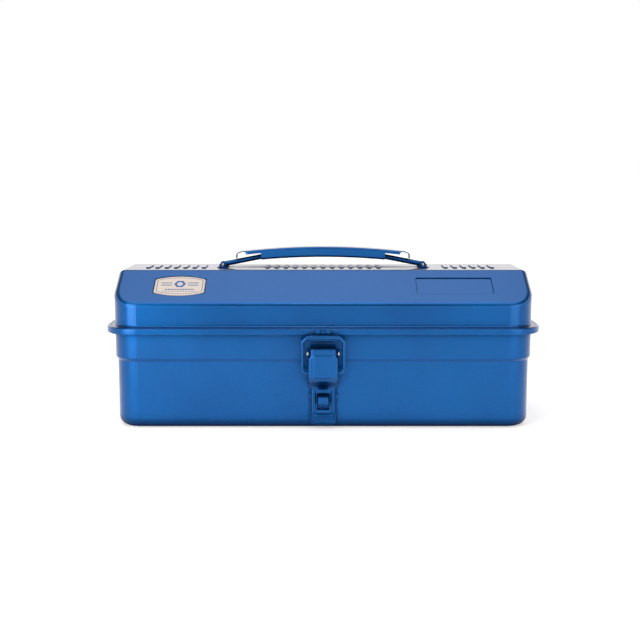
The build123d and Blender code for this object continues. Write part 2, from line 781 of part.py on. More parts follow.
grip_half = grip_width / 2
skirt_path = arch_path(skirt_half)
plate_path = arch_path(plate_half)
tab_root = plate_half - 3.0
tab_end = foot_z + (foot_half - tab_half) * tan(arm_tilt) + arm_rod / 2 / cos(arm_tilt) + tab_clear
with BuildPart() as handle_grip:
    with BuildSketch(arch_start(plate_path)):
        add(
            bent_sheet(
                [(grip_half, -plate_drop), (grip_half, 0), (-grip_half, 0), (-grip_half, -plate_drop)],
                [2.4, 2.4],
                grip_sheet,
            )
        )
    sweep(path=plate_path)
    with BuildSketch():
        RectangleRounded(2 * plate_half, 2 * grip_width, 6.0)
        RectangleRounded(2 * plate_half, grip_width, 5.0, mode=Mode.INTERSECT)
    extrude(amount=2 * grip_z, mode=Mode.INTERSECT)
    with BuildSketch(arch_start(skirt_path)):
        add(
            bent_sheet(
                [
                    (grip_mouth / 2, -skirt_height),
                    (grip_half, -skirt_height),
                    (grip_half, 0),
                    (-grip_half, 0),
                    (-grip_half, -skirt_height),
                    (-grip_mouth / 2, -skirt_height),
                ],
                [2.0, 2.4, 2.4, 2.0],
                grip_sheet,
            )
        )
    sweep(path=skirt_path)
    for side in (-1, 1):
        tab_line = [
            (side * tab_root, arch_height(tab_root)),
            (side * (plate_half + 2.0), arch_height(plate_half + 2.0)),
            (side * tab_half, arch_height(tab_half) - 1.0),
            (side * tab_half, tab_end),
        ]
        if side > 0:
            tab_line.reverse()
        with BuildSketch(Plane.XZ):
            add(bent_sheet(tab_line, [1.8, 3.0][:: -side], grip_sheet))
        extrude(amount=tab_width / 2, both=True)
handle_grip.part.label = "handle_grip"
export_step(handle_grip.part, "parts/handle_grip.step")


# --- Grip arms, their pins and foot brackets --------------------------------------------
slide_pin_half = grip_half - grip_sheet - 0.5
for side, side_name in ((-1, "left"), (1, "right")):
    foot = Vector(side * foot_half, 0, foot_z)
    slide = Vector(side * slide_half, 0, foot_z + arm_rise)

    with BuildPart() as arm:
        with BuildSketch(Plane(origin=foot, x_dir=(0, 1, 0), z_dir=slide - foot)):
            Circle(arm_rod / 2)
        extrude(amount=arm_length)
        with BuildSketch(Plane.XZ):
            with Locations((foot.X, foot.Z), (slide.X, slide.Z)):
                Circle(arm_rod / 2)
        extrude(amount=arm_rod / 2, both=True)
        with BuildSketch(Plane.XZ):
            with Locations((foot.X, foot.Z)):
                Circle(foot_pin_radius + pin_play)
            with Locations((slide.X, slide.Z)):
                Circle(slide_pin_radius)
        extrude(amount=arm_rod, both=True, mode=Mode.SUBTRACT)
    arm.part.label = f"handle_arm_{side_name}"
    export_step(arm.part, f"parts/handle_arm_{side_name}.step")

    with BuildPart() as slide_pin:
        with BuildSketch(Plane.XZ):
            with Locations((slide.X, slide.Z)):
                Circle(slide_pin_radius)
        extrude(amount=slide_pin_half, both=True)
        fillet(slide_pin.edges().filter_by(GeomType.CIRCLE), radius=0.5)
    slide_pin.part.label = f"handle_slide_pin_{side_name}"
    export_step(slide_pin.part, f"parts/handle_slide_pin_{side_name}.step")

    with BuildPart() as foot_pin:
        with BuildSketch(Plane.XZ):
            with Locations((foot.X, foot.Z)):
                Circle(foot_pin_radius)
        extrude(amount=foot_pin_half, both=True)
        fillet(foot_pin.edges().filter_by(GeomType.CIRCLE), radius=0.4)
    foot_pin.part.label = f"handle_foot_pin_{side_name}"
    export_step(foot_pin.part, f"parts/handle_foot_pin_{side_name}.step")

    with BuildPart() as bracket:
        with BuildSketch(Plane.XY.offset(lid_top)) as bracket_plan:
            with Locations((side * foot_half, 0)):
                RectangleRounded(bracket_length, bracket_width, 2.0)
            with Locations((side * (foot_half - 1.8), 0)):
                Rectangle(bracket_length, ear_gap, mode=Mode.SUBTRACT)
        extrude(amount=bracket_sheet)
        with BuildSketch(Plane.XZ):
            with Locations((foot.X, foot.Z)):
                Circle(foot_height)
            with Locations((foot.X, lid_top)):
                Rectangle(2 * foot_height + 1.6, foot_height, align=(Align.CENTER, Align.MIN))
        extrude(amount=ear_gap / 2 + bracket_sheet, both=True)
        with BuildSketch(Plane.XZ):
            with Locations((foot.X, lid_top)):
                Rectangle(2 * bracket_length, 4 * foot_height, align=(Align.CENTER, Align.MIN))
        extrude(amount=ear_gap / 2, both=True, mode=Mode.SUBTRACT)
        with BuildSketch(Plane.XY.offset(lid_top)):
            with Locations((side * (foot_half + bracket_length / 2 - 0.9), 0)):
                Rectangle(1.8, ear_gap + 2.0)
        extrude(amount=bracket_sheet)
        with BuildSketch(Plane.XZ):
            with Locations((foot.X, foot.Z)):
                Circle(foot_pin_radius)
        extrude(amount=bracket_width, both=True, mode=Mode.SUBTRACT)
        add(shank_holes(bracket_seats, 4 * bracket_sheet), mode=Mode.SUBTRACT)
    bracket.part.label = f"handle_bracket_{side_name}"
    export_step(bracket.part, f"parts/handle_bracket_{side_name}.step")

handle_bracket_rivets = rivet_row(bracket_seats, bracket_sheet + sheet)
handle_bracket_rivets.part.label = "handle_bracket_rivets"
export_step(handle_bracket_rivets.part, "parts/handle_bracket_rivets.step")
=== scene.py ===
"""Looks for a pressed-steel hand tool box: blue stoving enamel, a printed badge and a plain studio.

Lengths in the node space are metres, in the frame's own axes: X along the box, the latch faces
-Y, Z is up. Each new piece is a surface worked out on a grid of two parameters.
"""

import json
import math

import bpy
import numpy as np
from bpy.props import FloatProperty, FloatVectorProperty, PointerProperty
from bpy.types import Operator, Panel, PropertyGroup
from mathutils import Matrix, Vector


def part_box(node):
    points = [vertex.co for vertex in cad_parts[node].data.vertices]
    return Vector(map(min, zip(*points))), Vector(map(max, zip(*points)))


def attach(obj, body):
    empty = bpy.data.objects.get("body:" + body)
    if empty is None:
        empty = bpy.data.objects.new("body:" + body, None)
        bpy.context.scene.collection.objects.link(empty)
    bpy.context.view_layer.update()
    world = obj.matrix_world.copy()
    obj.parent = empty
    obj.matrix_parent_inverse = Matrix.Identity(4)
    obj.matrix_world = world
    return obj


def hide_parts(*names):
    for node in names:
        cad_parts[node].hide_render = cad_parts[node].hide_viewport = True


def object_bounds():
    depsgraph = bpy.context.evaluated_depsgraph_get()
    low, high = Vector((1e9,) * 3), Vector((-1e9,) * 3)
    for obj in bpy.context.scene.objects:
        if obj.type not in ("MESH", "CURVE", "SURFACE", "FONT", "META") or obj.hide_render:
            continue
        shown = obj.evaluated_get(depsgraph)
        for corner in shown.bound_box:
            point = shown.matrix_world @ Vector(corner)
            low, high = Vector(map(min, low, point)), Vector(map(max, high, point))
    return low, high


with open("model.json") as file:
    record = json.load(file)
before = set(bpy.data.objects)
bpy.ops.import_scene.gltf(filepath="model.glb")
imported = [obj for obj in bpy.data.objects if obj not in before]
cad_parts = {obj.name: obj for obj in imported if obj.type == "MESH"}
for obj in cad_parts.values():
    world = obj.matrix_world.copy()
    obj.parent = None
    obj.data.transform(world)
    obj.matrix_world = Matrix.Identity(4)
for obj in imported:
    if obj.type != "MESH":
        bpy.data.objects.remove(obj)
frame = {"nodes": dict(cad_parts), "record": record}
CAD_BOX = [list(corner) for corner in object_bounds()]

bl_info = {
    "name": "Steel Tool Box Finish",
    "version": (1, 0, 0),
    "blender": (4, 5, 0),
    "location": "View3D > Sidebar > Tool Box",
    "description": "Enamel, latch lever, badge and studio for a small pressed-steel tool box",
    "category": "Object",
}

MM = 0.001
LID_SLOPE = math.atan2(24.0, 41.0)  # the front slope's rise and run, as modelled


# --- Node tree helpers ----------------------------------------------------------------
def new_material(name):
    """An empty node material with its Principled shader and output, joined up."""
    material = bpy.data.materials.new(name)
    material.use_nodes = True
    tree = material.node_tree
    tree.nodes.clear()
    shader = tree.nodes.new("ShaderNodeBsdfPrincipled")
    output = tree.nodes.new("ShaderNodeOutputMaterial")
    tree.links.new(shader.outputs["BSDF"], output.inputs["Surface"])
    return material, tree, shader


def add_node(tree, kind, inputs=(), **settings):
    """A node with its settings and constant inputs."""
    node = tree.nodes.new(kind)
    for key, value in settings.items():
        setattr(node, key, value)
    for key, value in dict(inputs).items():
        node.inputs[key].default_value = value
    return node


def object_noise(tree, scale, detail=2.0, roughness=0.5, stretch=(1, 1, 1)):
    """Noise on object coordinates, per metre."""
    place = tree.nodes.new("ShaderNodeTexCoord")
    mapping = add_node(tree, "ShaderNodeMapping", {"Scale": stretch})
    grain = {"Scale": scale, "Detail": detail, "Roughness": roughness}
    noise = add_node(tree, "ShaderNodeTexNoise", grain)
    tree.links.new(place.outputs["Object"], mapping.inputs["Vector"])
    tree.links.new(mapping.outputs["Vector"], noise.inputs["Vector"])
    return noise.outputs["Fac"]


def ramp(tree, source, stops):
    """A colour ramp over a value, from (position, colour) stops."""
    node = tree.nodes.new("ShaderNodeValToRGB")
    elements = node.color_ramp.elements
    while len(elements) < len(stops):
        elements.new(0.5)
    for element, (position, colour) in zip(elements, stops):
        element.position = position
        element.color = (*colour, 1.0)
    tree.links.new(source, node.inputs["Fac"])
    return node.outputs["Color"]


def mix_colour(tree, factor, first, second):
    """Mix two colours, each a socket or a plain colour, by a socket."""
    node = tree.nodes.new("ShaderNodeMix")
    node.data_type = "RGBA"
    tree.links.new(factor, node.inputs["Factor"])
    for socket, value in ((node.inputs[6], first), (node.inputs[7], second)):
        if isinstance(value, bpy.types.NodeSocket):
            tree.links.new(value, socket)
        else:
            socket.default_value = (*value, 1.0)
    return node.outputs[2]


def multiply(tree, first, second):
    """The product of two colour sockets."""
    node = add_node(tree, "ShaderNodeMix", {"Factor": 1.0}, data_type="RGBA", blend_type="MULTIPLY")
    tree.links.new(first, node.inputs[6])
    tree.links.new(second, node.inputs[7])
    return node.outputs[2]


def bump(tree, shader, height, strength, distance, under=None):
    """Bump the shader's normal and its lacquer's by one height, over another normal if given."""
    node = add_node(tree, "ShaderNodeBump", {"Strength": strength, "Distance": distance})
    if under is not None:
        tree.links.new(under, node.inputs["Normal"])
    tree.links.new(height, node.inputs["Height"])
    tree.links.new(node.outputs["Normal"], shader.inputs["Normal"])
    tree.links.new(node.outputs["Normal"], shader.inputs["Coat Normal"])


def grey(value):
    return (value, value, value)


# --- Settings -------------------------------------------------------------------------
class EnamelSettings(PropertyGroup):
    """Colours and build-up of the enamel."""

    deep: FloatVectorProperty(
        name="Deep blue",
        description="Enamel colour in its darker flakes",
        subtype="COLOR",
        default=(0.0, 0.060, 0.230),
    )
    bright: FloatVectorProperty(
        name="Bright blue",
        description="Enamel colour in its brighter flakes",
        subtype="COLOR",
        default=(0.0, 0.100, 0.335),
    )
    # lighter blue on edges: a painted edge highlight, and partly thin worn enamel
    edge: FloatVectorProperty(
        name="Edge blue",
        description="Enamel colour where it is thin on edges",
        subtype="COLOR",
        default=(0.03, 0.24, 0.58),
    )
    broken_edge: FloatProperty(
        name="Broken edge",
        description="Radius that the enamel builds up on sharp edges",
        default=0.5 * MM,
        unit="LENGTH",
    )
    lacquer: FloatProperty(
        name="Lacquer",
        description="Weight of the clear lacquer",
        default=1.0,
        min=0.0,
        max=1.0,
        subtype="FACTOR",
    )


class LatchSettings(PropertyGroup):
    """Sizes of the latch lever, its pin and the plate under it."""

    side_bend: FloatProperty(
        name="Side bend",
        description="Radius of the lever's side bends",
        default=3.0 * MM,
        unit="LENGTH",
    )
    panel_rise: FloatProperty(
        name="Panel rise",
        description="Height of the lever's pressed panel",
        default=0.8 * MM,
        unit="LENGTH",
    )
    rib_rise: FloatProperty(
        name="Rib rise",
        description="Height of the tongue's two ribs",
        default=1.1 * MM,
        unit="LENGTH",
    )
    pin_head: FloatProperty(
        name="Pin head",
        description="Radius of the heads on the lever's pin",
        default=1.9 * MM,
        unit="LENGTH",
    )
    sheet: FloatProperty(
        name="Sheet",
        description="Thickness of the lever",
        default=1.0 * MM,
        unit="LENGTH",
    )
    bead: FloatProperty(
        name="Base bead",
        description="Radius of the bead round the base plate",
        default=0.6 * MM,
        unit="LENGTH",
    )


class BadgeSettings(PropertyGroup):
    """Colours and line width of the badge."""

    plate: FloatVectorProperty(
        name="Plate",
        description="Colour of the badge",
        subtype="COLOR",
        default=(0.52, 0.45, 0.395),
    )
    ink: FloatVectorProperty(
        name="Ink",
        description="Colour of the printing",
        subtype="COLOR",
        default=(0.02, 0.10, 0.30),
    )
    line: FloatProperty(
        name="Frame line",
        description="Width of the printed frame",
        default=0.6 * MM,
        unit="LENGTH",
    )


class StudioSettings(PropertyGroup):
    """Floor, surround and lamps."""

    floor: FloatVectorProperty(
        name="Floor",
        description="Floor colour",
        subtype="COLOR",
        default=(0.8, 0.8, 0.8),
    )
    horizon: FloatProperty(
        name="Horizon",
        description="Brightness of the surround, low down",
        default=1.0,
        min=0.0,
    )
    glow: FloatVectorProperty(
        name="Glow",
        description="Colour of the surround above the horizon",
        subtype="COLOR",
        default=(2.0, 1.8, 1.65),
        max=10.0,
    )
    band: FloatProperty(
        name="Band",
        description="Brightness of the surround, half way up",
        default=0.26,
        min=0.0,
    )
    zenith: FloatProperty(
        name="Zenith",
        description="Brightness of the surround overhead",
        default=2.0,
        min=0.0,
    )
    left_power: FloatProperty(
        name="Left strip",
        description="Power of the left softbox",
        default=2.3,
        unit="POWER",
    )
    right_power: FloatProperty(
        name="Right strip",
        description="Power of the right softbox",
        default=0.75,
        unit="POWER",
    )
    pool_power: FloatProperty(
        name="Pool",
        description="Power of the lamp over the front floor",
        default=7.0,
        unit="POWER",
    )


# --- Materials ------------------------------------------------------------------------
def flake_colour(tree, flakes, clouds, settings):
    """The enamel's own colour: mostly its fine flakes, and a little of its wide clouds."""
    share = add_node(tree, "ShaderNodeMath", {1: 0.35}, operation="MULTIPLY")
    total = add_node(tree, "ShaderNodeMath", {1: 0.65}, operation="MULTIPLY_ADD")
    tree.links.new(clouds, share.inputs[0])
    tree.links.new(flakes, total.inputs[0])
    tree.links.new(share.outputs[0], total.inputs[2])
    stops = [(0.34, tuple(settings.deep)), (0.66, tuple(settings.bright))]
    return ramp(tree, total.outputs[0], stops)


def edge_highlight_and_wear(tree, rounded):
    """Painted edge highlight, partly thin worn enamel: lighter where the rounded normal turns away from
    the facet's, in patches.
    """
    facet = tree.nodes.new("ShaderNodeNewGeometry")
    turned = add_node(tree, "ShaderNodeVectorMath", operation="DOT_PRODUCT")
    tree.links.new(rounded, turned.inputs[0])
    tree.links.new(facet.outputs["Normal"], turned.inputs[1])
    on_edge = ramp(tree, turned.outputs["Value"], [(0.82, grey(1.0)), (0.985, grey(0.0))])
    patches = object_noise(tree, 120.0, detail=3.0)
    rubbed = ramp(tree, patches, [(0.38, grey(0.15)), (0.62, grey(1.0))])
    return multiply(tree, on_edge, rubbed)


def painted_shade_in_recesses(tree, shader):
    """Painted shade: mix a dull dark layer over the finish, from how closed in a point is, near by and
    wider.
    """
    corners = add_node(tree, "ShaderNodeAmbientOcclusion", {"Distance": 0.02}, samples=16)
    creases = add_node(tree, "ShaderNodeAmbientOcclusion", {"Distance": 0.0035}, samples=12)
    corner_stops = [(0.1, grey(0.05)), (0.5, grey(0.5)), (0.85, grey(1.0))]
    crease_stops = [(0.35, grey(0.0)), (0.85, grey(1.0))]
    unshaded = multiply(
        tree,
        ramp(tree, corners.outputs["AO"], corner_stops),
        ramp(tree, creases.outputs["AO"], crease_stops),
    )
    # painted shade: a dark dull layer where ambient occlusion finds corners, creases and overhangs
    shade_look = {"Color": (0.002, 0.012, 0.05, 1.0), "Roughness": 0.8}
    shade_layer = add_node(tree, "ShaderNodeBsdfDiffuse", shade_look)
    layered = tree.nodes.new("ShaderNodeMixShader")
    tree.links.new(unshaded, layered.inputs["Fac"])
    tree.links.new(shade_layer.outputs["BSDF"], layered.inputs[1])
    tree.links.new(shader.outputs["BSDF"], layered.inputs[2])
    output = next(node for node in tree.nodes if node.type == "OUTPUT_MATERIAL")
    tree.links.new(layered.outputs["Shader"], output.inputs["Surface"])


def blue_enamel(settings):
    """Blue metallic stoving enamel under a clear lacquer, with painted shade (a dull dark layer) in its
    recesses and creases.
    """
    material, tree, shader = new_material("blue_enamel")
    flakes = object_noise(tree, 2600.0, detail=1.0)
    clouds = object_noise(tree, 14.0, detail=3.0)
    peel = object_noise(tree, 380.0, detail=2.0)
    broken = add_node(tree, "ShaderNodeBevel", {"Radius": settings.broken_edge}, samples=6)
    rounded = broken.outputs["Normal"]

    full = flake_colour(tree, flakes, clouds, settings)
    # lighter edges: painted highlight, partly worn thin enamel in patches
    colour = mix_colour(tree, edge_highlight_and_wear(tree, rounded), full, tuple(settings.edge))
    roughness = ramp(tree, clouds, [(0.3, grey(0.30)), (0.7, grey(0.38))])
    tree.links.new(colour, shader.inputs["Base Color"])
    tree.links.new(roughness, shader.inputs["Roughness"])
    bump(tree, shader, peel, 0.06, 0.0002, rounded)
    shader.inputs["Metallic"].default_value = 1.0
    shader.inputs["Specular Tint"].default_value = (1.0, 0.92, 0.84, 1.0)
    shader.inputs["Coat Weight"].default_value = settings.lacquer
    shader.inputs["Coat Roughness"].default_value = 0.05
    shader.inputs["Coat IOR"].default_value = 1.27
    # painted shade in corners, creases and under overhangs, from ambient occlusion
    painted_shade_in_recesses(tree, shader)
    return material


def zinc_plate():
    """Bright zinc plate on the turned pins."""
    material, tree, shader = new_material("zinc_plate")
    turning = object_noise(tree, 900.0, detail=3.0, stretch=(0.1, 1, 1))
    colour = ramp(tree, turning, [(0.3, grey(0.42)), (0.7, grey(0.62))])
    roughness = ramp(tree, turning, [(0.3, grey(0.24)), (0.7, grey(0.38))])
    tree.links.new(colour, shader.inputs["Base Color"])
    tree.links.new(roughness, shader.inputs["Roughness"])
    bump(tree, shader, turning, 0.1, 0.0001)
    shader.inputs["Metallic"].default_value = 1.0
    return material


def finish_on(node_name):
    """The finish that a modelled piece already has, for the new pieces as well."""
    return frame["nodes"][node_name].data.materials[0]


def badge_print(settings):
    """Satin stoved plate with blue printing, where the piece's own ink attribute says."""
    material, tree, shader = new_material("badge_print")
    ink = add_node(tree, "ShaderNodeAttribute", attribute_name="ink")
    grain = object_noise(tree, 1500.0, detail=2.0)
    plate = tuple(settings.plate)
    lighter = tuple(min(1.0, 1.06 * value) for value in plate)
    ground = ramp(tree, grain, [(0.3, plate), (0.7, lighter)])
    colour = mix_colour(tree, ink.outputs["Fac"], ground, tuple(settings.ink))
    tree.links.new(colour, shader.inputs["Base Color"])
    tree.links.new(ramp(tree, grain, [(0.3, grey(0.36)), (0.7, grey(0.46))]), shader.inputs["Roughness"])
    bump(tree, shader, grain, 0.05, 0.0001)
    return material


def studio_white(settings):
    """Seamless pale floor with a faint paper tooth, lit through from below."""
    material, tree, shader = new_material("studio_floor")
    tooth = object_noise(tree, 60.0, detail=2.0)
    floor = tuple(settings.floor)
    lighter = tuple(min(1.0, value * 1.02) for value in floor)
    tree.links.new(ramp(tree, tooth, [(0.3, floor), (0.7, lighter)]), shader.inputs["Base Color"])
    shader.inputs["Roughness"].default_value = 0.9
    shader.inputs["Emission Color"].default_value = (1, 1, 1, 1)
    shader.inputs["Emission Strength"].default_value = 0.40
    return material


# --- Surfaces -------------------------------------------------------------------------
def smooth(value):
    """Smooth step: 0 below 0, 1 above 1, with level ends."""
    value = np.clip(value, 0.0, 1.0)
    return value * value * (3.0 - 2.0 * value)


def lines_between(stops, spacing):
    """Grid lines that keep each stop and are about the spacing apart."""
    runs = []
    for start, end in zip(stops[:-1], stops[1:]):
        count = max(2, int(round(abs(end - start) / spacing)) + 1)
        runs.append(np.linspace(start, end, count)[:-1])
    return np.concatenate([*runs, stops[-1:]])


def grid_piece(name, points, body, material, closed=(False, False), keep=None):
    """A piece from a grid of points; keep says which of its quads there are."""
    rows, columns = points.shape[:2]
    index = np.arange(rows * columns).reshape(rows, columns)
    if closed[0]:
        index = np.concatenate([index, index[:1]])
    if closed[1]:
        index = np.concatenate([index, index[:, :1]], axis=1)
    quads = np.stack([index[:-1, :-1], index[1:, :-1], index[1:, 1:], index[:-1, 1:]], axis=-1)
    quads = quads[keep] if keep is not None else quads.reshape(-1, 4)
    mesh = bpy.data.meshes.new(name)
    mesh.from_pydata(points.reshape(-1, 3).tolist(), [], quads.tolist())
    mesh.validate()
    mesh.shade_smooth()
    mesh.materials.append(material)
    piece = bpy.data.objects.new(name, mesh)
    bpy.context.scene.collection.objects.link(piece)
    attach(piece, body)
    return piece


def thicken(piece, thickness, edge):
    """Give a sheet its wall on the inside, and break its edges."""
    wall = piece.modifiers.new("wall", "SOLIDIFY")
    wall.thickness = thickness
    wall.offset = -1.0
    rim = piece.modifiers.new("rim", "BEVEL")
    rim.width = edge
    rim.segments = 2
    rim.limit_method = "ANGLE"
    rim.angle_limit = math.radians(50)


def rounded_path(corners, radius, spacing):
    """Points along straight runs joined by arcs of the radius at every inner corner."""
    corners = np.asarray(corners, float)
    points = [corners[:1]]
    for before, corner, after in zip(corners[:-2], corners[1:-1], corners[2:]):
        inward = (before - corner) / np.linalg.norm(before - corner)
        outward = (after - corner) / np.linalg.norm(after - corner)
        half_turn = math.acos(np.clip(inward @ outward, -1, 1)) / 2
        middle = (inward + outward) / np.linalg.norm(inward + outward)
        centre = corner + middle * radius / math.sin(half_turn)
        reach = radius / math.tan(half_turn)
        start = corner + inward * reach - centre
        end = corner + outward * reach - centre
        sweep = math.pi - 2 * half_turn
        angles = np.linspace(0, sweep, max(4, int(radius * sweep / spacing)))[:, None]
        points.append(centre + (start * np.sin(sweep - angles) + end * np.sin(angles)) / math.sin(sweep))
    points.append(corners[-1:])
    return np.concatenate(points)


def tube_points(path, across, radius, sides):
    """A circle of the radius carried along a path in a plane whose normal is across."""
    tangent = np.gradient(path, axis=0)
    tangent /= np.linalg.norm(tangent, axis=1, keepdims=True)
    side = np.cross(tangent, across)
    turn = np.linspace(0, 2 * math.pi, sides, endpoint=False)[None, :, None]
    ring = np.cos(turn) * np.asarray(across)[None, None] + np.sin(turn) * side[:, None]
    return path[:, None] + radius * ring


# --- Operators ------------------------------------------------------------------------
class TOOLBOX_OT_stage(Operator):
    """Floor, surround, softboxes and camera"""

    bl_idname = "toolbox.stage"
    bl_label = "Studio"

    def execute(self, context):
        settings = context.scene.toolbox_studio
        self.floor(settings)
        self.surround(context.scene, settings)
        self.strips(context.scene, settings)
        self.camera(context.scene)
        return {"FINISHED"}

    def floor(self, settings):
        bpy.ops.mesh.primitive_plane_add(size=40.0, location=(0, 0, CAD_BOX[0][2]))
        floor = bpy.context.object
        floor.name = "studio_floor"
        floor.data.materials.append(studio_white(settings))

    def surround(self, scene, settings):
        """A sky that is white low down, glows warm just above, and is darker half way up."""
        world = bpy.data.worlds.new("surround")
        world.use_nodes = True
        tree = world.node_tree
        place = tree.nodes.new("ShaderNodeTexCoord")
        split = tree.nodes.new("ShaderNodeSeparateXYZ")
        tree.links.new(place.outputs["Generated"], split.inputs["Vector"])
        white, half_way, high = grey(settings.horizon), grey(settings.band), grey(settings.zenith)
        warm = tuple(settings.glow)
        stops = [
            (0.17, white),
            (0.22, warm),
            (0.34, warm),
            (0.5, half_way),
            (0.84, half_way),
            (0.92, high),
        ]
        sky = ramp(tree, split.outputs["Z"], stops)
        tree.links.new(sky, tree.nodes["Background"].inputs["Color"])
        scene.world = world

    def strips(self, scene, settings):
        """Two upright softboxes beside the camera's view, and a soft lamp over the front floor."""
        strips = (("left_strip", -1, settings.left_power), ("right_strip", 1, settings.right_power))
        for name, side, power in strips:
            lamp = bpy.data.lights.new(name, "AREA")
            lamp.shape = "RECTANGLE"
            lamp.size, lamp.size_y = 0.3, 0.7
            lamp.energy = power
            holder = bpy.data.objects.new(name, lamp)
            holder.location = (side * 0.40, -0.44, 0.36)
            aim = Vector((-side * 0.24, 0.385, 0.0))
            holder.rotation_euler = aim.to_track_quat("-Z", "Y").to_euler()
            holder.visible_camera = False
            scene.collection.objects.link(holder)
        lamp = bpy.data.lights.new("floor_pool", "SPOT")
        lamp.energy = settings.pool_power
        lamp.spot_size = math.radians(26)
        lamp.spot_blend = 1.0
        lamp.shadow_soft_size = 0.12
        holder = bpy.data.objects.new("floor_pool", lamp)
        holder.location = (0.0, -0.34, 1.3)
        scene.collection.objects.link(holder)

    def camera(self, scene):
        lens = bpy.data.cameras.new("camera")
        lens.lens = 57.9
        camera = bpy.data.objects.new("camera", lens)
        camera.location = (-0.0026, -0.8959, 0.2133)
        camera.rotation_euler = (math.radians(90 - 8.43), 0, 0)
        scene.collection.objects.link(camera)
        scene.camera = camera
        scene.view_settings.view_transform = "Standard"


class TOOLBOX_OT_enamel(Operator):
    """Finish on the pieces that keep their modelled shape"""

    bl_idname = "toolbox.enamel"
    bl_label = "Enamel and plate"

    def execute(self, context):
        enamel = blue_enamel(context.scene.toolbox_enamel)
        zinc = zinc_plate()
        slots = {part["node"]: part["material_slot"] for part in frame["record"]["subparts"]}
        for name, piece in frame["nodes"].items():
            piece.data.materials.clear()
            piece.data.materials.append(zinc if slots[name] == "plated_steel" else enamel)
        return {"FINISHED"}


class TOOLBOX_OT_lever(Operator):
    """Latch lever with rounded sides, a pressed panel and a ribbed, slotted tongue"""

    bl_idname = "toolbox.lever"
    bl_label = "Latch lever"

    def execute(self, context):
        """Level lines down the lever, each a channel section: flat face, side bends, flanges.

        The face's depth is a smooth step from the body back to the tongue. The panel and the ribs
        are added to it as smooth bumps of the distance from a rectangle and from two upright lines.
        """
        settings = context.scene.toolbox_latch
        low, high = (np.array(corner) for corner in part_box("latch_lever"))
        face_y = low[1] + 0.8 * MM
        flange_back = face_y + 8.6 * MM
        tongue_y = face_y + 9.95 * MM
        slot_half, slot_foot, slot_top = 5.15 * MM, low[2] + 4.8 * MM, low[2] + 18.8 * MM
        tongue_half, body_half, head_half = 9.4 * MM, high[0], 10.9 * MM
        shoulder, shoulder_length = high[2] - 8.2 * MM, 2.4 * MM
        bend_foot, bend_head = low[2] + 21.0 * MM, low[2] + 34.5 * MM
        waist_top, waist_length = bend_foot + 6.0 * MM, 4.5 * MM
        foot_radius, foot_kick = 3.0 * MM, 1.5 * MM
        head_roll, head_roll_length = 0.9 * MM, 1.5 * MM

        z = lines_between([high[2], slot_top, slot_foot, low[2]], 0.28 * MM)[:, None]
        slot_share = slot_half / tongue_half
        t = lines_between([-1.0, -slot_share, slot_share, 1.0], 0.014)[None, :]

        widen = smooth((shoulder + shoulder_length - z) / shoulder_length)
        narrow = smooth((waist_top - z) / waist_length)
        half = head_half + (body_half - head_half) * widen + (tongue_half - body_half) * narrow
        lift = np.clip(foot_radius - (z - low[2]), 0, foot_radius)
        half = half - foot_radius + np.sqrt(foot_radius**2 - lift**2)

        depth = face_y + (tongue_y - face_y) * smooth((bend_head - z) / (bend_head - bend_foot))
        rolled = np.clip((z - high[2]) / head_roll_length + 1.0, 0, 1)
        kicked = smooth((low[2] + foot_radius - z) / foot_radius)
        depth = depth + head_roll * rolled**2 - foot_kick * kicked

        flange = np.clip(flange_back - depth, 0, None)
        bend = np.clip(settings.side_bend, 1e-6, flange + 1e-6)
        flat = half - bend
        arc = bend * math.pi / 2
        along = np.abs(t) * (flat + arc + np.clip(flange - bend, 0, None))
        turn = np.clip((along - flat) / bend, 0, math.pi / 2)
        x = np.sign(t) * (np.minimum(along, flat) + bend * np.sin(turn))
        back = bend * (1 - np.cos(turn)) + np.clip(along - flat - arc, 0, None)

        pressed = self.panel(x, z - (shoulder - 6.6 * MM), settings.panel_rise)
        ribs = self.ribs(x, z - (slot_foot + slot_top) / 2, settings.rib_rise)
        points = np.stack(np.broadcast_arrays(x, depth + back - pressed - ribs, z), axis=-1)
        middle_x = (points[:-1, :-1, 0] + points[1:, 1:, 0]) / 2
        middle_z = (points[:-1, :-1, 2] + points[1:, 1:, 2]) / 2
        in_slot = (np.abs(middle_x) < slot_half) & (middle_z > slot_foot) & (middle_z < slot_top)
        enamel = finish_on("lid_shell")
        piece = grid_piece("lever", points, "lever", enamel, keep=~in_slot)
        thicken(piece, settings.sheet, 0.22 * MM)
        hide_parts("latch_lever")
        return {"FINISHED"}

    def panel(self, x, z, rise):
        """Height of the pressed panel: a smooth step of the distance inside its outline."""
        half_width, half_height, slope = 8.4 * MM, 10.0 * MM, 1.3 * MM
        inside = np.minimum(half_width - np.abs(x), half_height - np.abs(z))
        return rise * smooth(inside / slope)

    def ribs(self, x, z, rise):
        """Height of two upright ribs: a squared cosine of the distance from their middle lines."""
        place, half_length, half_width = 7.2 * MM, 8.4 * MM, 1.35 * MM
        beyond = np.clip(np.abs(z) - half_length, 0, None)
        away = np.hypot(np.abs(x) - place, beyond) / half_width
        return rise * np.cos(np.clip(away, 0, 1) * math.pi / 2) ** 2


